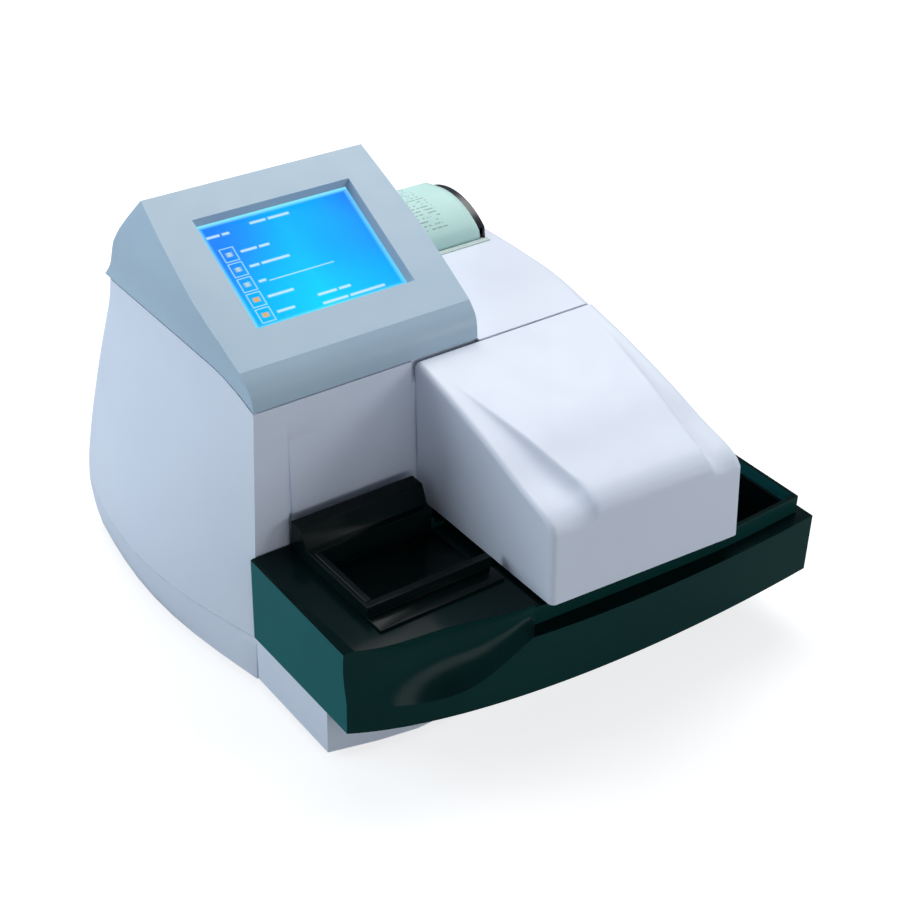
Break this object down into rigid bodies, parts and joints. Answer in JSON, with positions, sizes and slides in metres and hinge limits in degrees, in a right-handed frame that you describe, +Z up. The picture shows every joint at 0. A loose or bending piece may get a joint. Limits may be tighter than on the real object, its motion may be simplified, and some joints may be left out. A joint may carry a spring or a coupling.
{
  "type": "urine analyzer",
  "caption": "Bench urine analyzer with a sloped display head, a deck printer, a hinged optics cover and a pull-out strip tray with a lift-out platform and waste bin.",
  "frame": {"origin": "middle of the underside, where the feet stand on the bench", "axes": "+X to the user's right, +Y towards the rear panel, +Z up"},
  "size_m": [0.39, 0.4084, 0.309],
  "materials": {
    "housing_plastic": "fine-textured pale blue-grey ABS",
    "head_plastic": "satin grey-blue ABS",
    "tray_plastic": "glossy dark green ABS",
    "black_plastic": "glossy black",
    "rubber": "black rubber",
    "steel": "plated sheet and ground rod",
    "aluminium": "satin",
    "screen": "lit blue display",
    "clear_panel": "clear panel",
    "tear_bar_plastic": "pale translucent plastic",
    "circuit_board": "green solder mask",
    "paper": "thermal paper",
    "nylon": "natural nylon"
  },
  "bodies": {
    "housing": {"base_pan": "housing_plastic", "foot_front_left": "rubber", "foot_front_right": "rubber", "foot_rear_left": "rubber", "foot_rear_right": "rubber", "body_shell": "housing_plastic", "head_shell": "head_plastic", "top_deck": "housing_plastic", "touch_panel": "clear_panel", "lcd_module": "screen", "display_bracket": "steel", "display_board": "circuit_board", "display_screw_1": "steel", "display_screw_2": "steel", "printer_chassis": "steel", "printer_lid_pin": "steel", "feed_motor": "steel", "thermal_head": "aluminium", "tear_bar": "tear_bar_plastic", "hinge_bracket_left": "steel", "hinge_pin_left": "steel", "hinge_bracket_right": "steel", "hinge_pin_right": "steel", "optics_frame": "steel", "guide_rod_left": "steel", "guide_rod_right": "steel", "idler_pin": "steel", "scan_belt": "rubber", "scan_motor": "steel", "rear_panel": "aluminium", "mains_inlet": "black_plastic", "switch_housing": "black_plastic", "serial_port": "steel", "host_port": "steel", "panel_screw_1": "steel", "panel_screw_2": "steel", "panel_screw_3": "steel", "panel_screw_4": "steel", "main_board": "circuit_board", "power_supply": "steel"},
    "cover": {"cover": "housing_plastic"},
    "tray": {"strip_tray": "tray_plastic", "reading_stage": "black_plastic"},
    "platform": {"strip_platform": "black_plastic"},
    "pusher": {"strip_pusher": "black_plastic"},
    "comb": {"transfer_comb": "nylon"},
    "bin": {"waste_bin": "black_plastic"},
    "scanner": {"optical_head": "black_plastic", "scanner_glass": "clear_panel"},
    "drive_pulley": {"drive_pulley": "aluminium"},
    "idler_pulley": {"idler_pulley": "aluminium"},
    "lid": {"printer_lid": "black_plastic", "paper_strip": "paper"},
    "roll": {"paper_roll": "paper", "roll_spindle": "nylon"},
    "platen": {"platen_roller": "rubber", "platen_gear": "nylon"},
    "feed": {"feed_gear": "nylon"},
    "rocker": {"power_rocker": "black_plastic"}
  },
  "joints": [
    {"name": "cover_hinge", "type": "hinge", "parent": "housing", "child": "cover", "pos_m": [0.0329, -0.04804, 0.2102], "axis": [-1, 0, 0], "range_deg": [0, 85]},
    {"name": "tray_slide", "type": "slide", "parent": "housing", "child": "tray", "axis": [0, -1, 0], "range_m": [0, 0.12]},
    {"name": "platform_lift", "type": "slide", "parent": "tray", "child": "platform", "axis": [0, 0, 1], "range_m": [0, 0.06]},
    {"name": "pusher_slide", "type": "slide", "parent": "platform", "child": "pusher", "axis": [1, 0, 0], "range_m": [0, 0.086]},
    {"name": "comb_slide", "type": "slide", "parent": "tray", "child": "comb", "axis": [1, 0, 0], "range_m": [0, 0.012]},
    {"name": "bin_lift", "type": "slide", "parent": "tray", "child": "bin", "axis": [0, 0, 1], "range_m": [0, 0.06]},
    {"name": "scan_slide", "type": "slide", "parent": "housing", "child": "scanner", "axis": [0, -1, 0], "range_m": [0, 0.08]},
    {"name": "drive_pulley_spin", "type": "hinge", "parent": "housing", "child": "drive_pulley", "pos_m": [0.03903, -0.05984, 0.155], "axis": [0, 0, 1], "range_deg": [0, 720]},
    {"name": "idler_pulley_spin", "type": "hinge", "parent": "housing", "child": "idler_pulley", "pos_m": [0.03903, -0.15784, 0.155], "axis": [0, 0, 1], "range_deg": [0, 720]},
    {"name": "lid_hinge", "type": "hinge", "parent": "housing", "child": "lid", "pos_m": [0.0669, 0.15416, 0.219], "axis": [-1, 0, 0], "range_deg": [0, 75]},
    {"name": "roll_spin", "type": "hinge", "parent": "housing", "child": "roll", "pos_m": [0.0669, 0.11666, 0.203], "axis": [-1, 0, 0], "continuous": true},
    {"name": "platen_spin", "type": "hinge", "parent": "lid", "child": "platen", "pos_m": [0.0669, 0.07436, 0.2175], "axis": [-1, 0, 0], "continuous": true},
    {"name": "feed_spin", "type": "hinge", "parent": "housing", "child": "feed", "pos_m": [0.0968, 0.07436, 0.2035], "axis": [-1, 0, 0], "continuous": true},
    {"name": "rocker_tilt", "type": "hinge", "parent": "housing", "child": "rocker", "pos_m": [-0.0481, 0.18246, 0.095], "axis": [1, 0, 0], "range_deg": [-6, 6]}
  ],
  "couplings": [
    {"joint": "drive_pulley_spin", "follows": "scan_slide", "rad_per_m": 156.25},
    {"joint": "idler_pulley_spin", "follows": "scan_slide", "rad_per_m": 156.25},
    {"joint": "platen_spin", "follows": "roll_spin", "ratio": 4.8},
    {"joint": "feed_spin", "follows": "roll_spin", "ratio": -2.6667}
  ]
}
